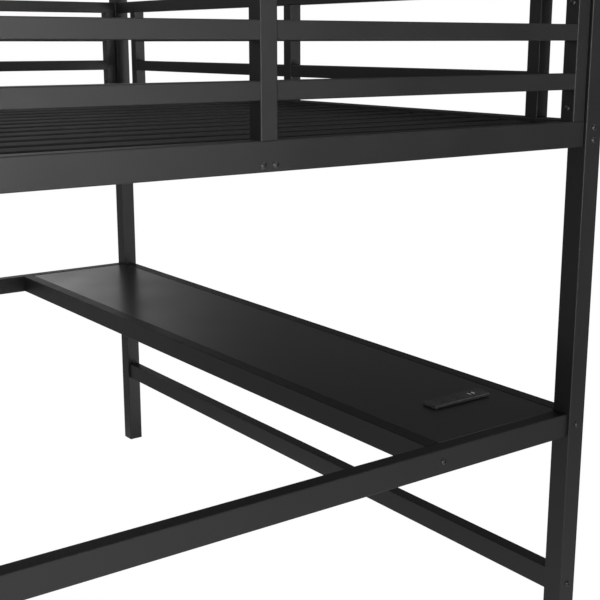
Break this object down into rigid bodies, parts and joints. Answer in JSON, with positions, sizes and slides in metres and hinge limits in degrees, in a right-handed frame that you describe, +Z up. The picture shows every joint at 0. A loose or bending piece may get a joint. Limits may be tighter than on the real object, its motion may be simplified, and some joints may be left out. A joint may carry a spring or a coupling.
{
  "type": "loft bed with desk",
  "caption": "High metal bed frame with guard rails, slats and a ladder over an open space, with a long desk and a power strip built in along the back.",
  "frame": {"origin": "on the floor, under the middle of the bed", "axes": "+X along the bed to the end with the power strip, +Y across it to the desk side, +Z up"},
  "size_m": [2.1228, 1.6508, 1.625],
  "materials": {
    "black_steel": "fine matte black powder coat",
    "black_bolt": "black coated steel, slightly glossier than the frame",
    "plug_plastic": "fine grained black plastic",
    "desk_laminate": "particle board with a satin black laminate",
    "strip_plastic": "satin black plastic",
    "usb_steel": "thin plated steel",
    "usb_tongue": "light grey plastic",
    "zinc_steel": "zinc plated steel",
    "circuit_board": "green solder mask"
  },
  "bodies": {
    "root": {"back_guard_infill_rails": "black_steel", "back_guard_stiles": "black_steel", "back_guard_top_rail": "black_steel", "bed_end_plates": "zinc_steel", "center_beam": "black_steel", "center_beam_bolts": "black_bolt", "desk_back_beam": "black_steel", "desk_crossbar_left": "black_steel", "desk_crossbar_right": "black_steel", "desk_end_plates": "zinc_steel", "desk_frame_bolts": "black_bolt", "desk_front_beam": "black_steel", "desk_supports": "black_steel", "desktop": "desk_laminate", "desktop_screws": "black_bolt", "end_infill_rails_left": "black_steel", "end_infill_rails_right": "black_steel", "end_panel_bolts": "black_bolt", "end_rail_bolts": "black_bolt", "end_rail_left": "black_steel", "end_rail_right": "black_steel", "end_stiles_left": "black_steel", "end_stiles_right": "black_steel", "end_top_rail_left": "black_steel", "end_top_rail_right": "black_steel", "foot_plugs": "plug_plastic", "front_guard_infill_rails": "black_steel", "front_guard_stiles": "black_steel", "front_guard_top_rail": "black_steel", "guard_end_cap": "plug_plastic", "guard_rail_bolts": "black_bolt", "ladder_bolts": "black_bolt", "ladder_bracket": "black_steel", "ladder_foot_plugs": "plug_plastic", "ladder_rail_left": "black_steel", "ladder_rail_right": "black_steel", "ladder_rungs": "black_steel", "lower_stretcher": "black_steel", "outlet_inserts": "strip_plastic", "post_back_left": "black_steel", "post_back_right": "black_steel", "post_caps": "plug_plastic", "post_front_left": "black_steel", "post_front_right": "black_steel", "power_circuit_board": "circuit_board", "power_cord_inlet": "strip_plastic", "power_cover": "strip_plastic", "power_housing": "strip_plastic", "side_rail_back": "black_steel", "side_rail_bolts": "black_bolt", "side_rail_front": "black_steel", "slat_end_caps": "plug_plastic", "slat_ledge_back": "black_steel", "slat_ledge_front": "black_steel", "slat_screws": "black_bolt", "slats": "black_steel", "stretcher_bolts": "black_bolt", "usb_shells": "usb_steel", "usb_tongues": "usb_tongue", "weld_nuts": "zinc_steel"}
  },
  "joints": []
}
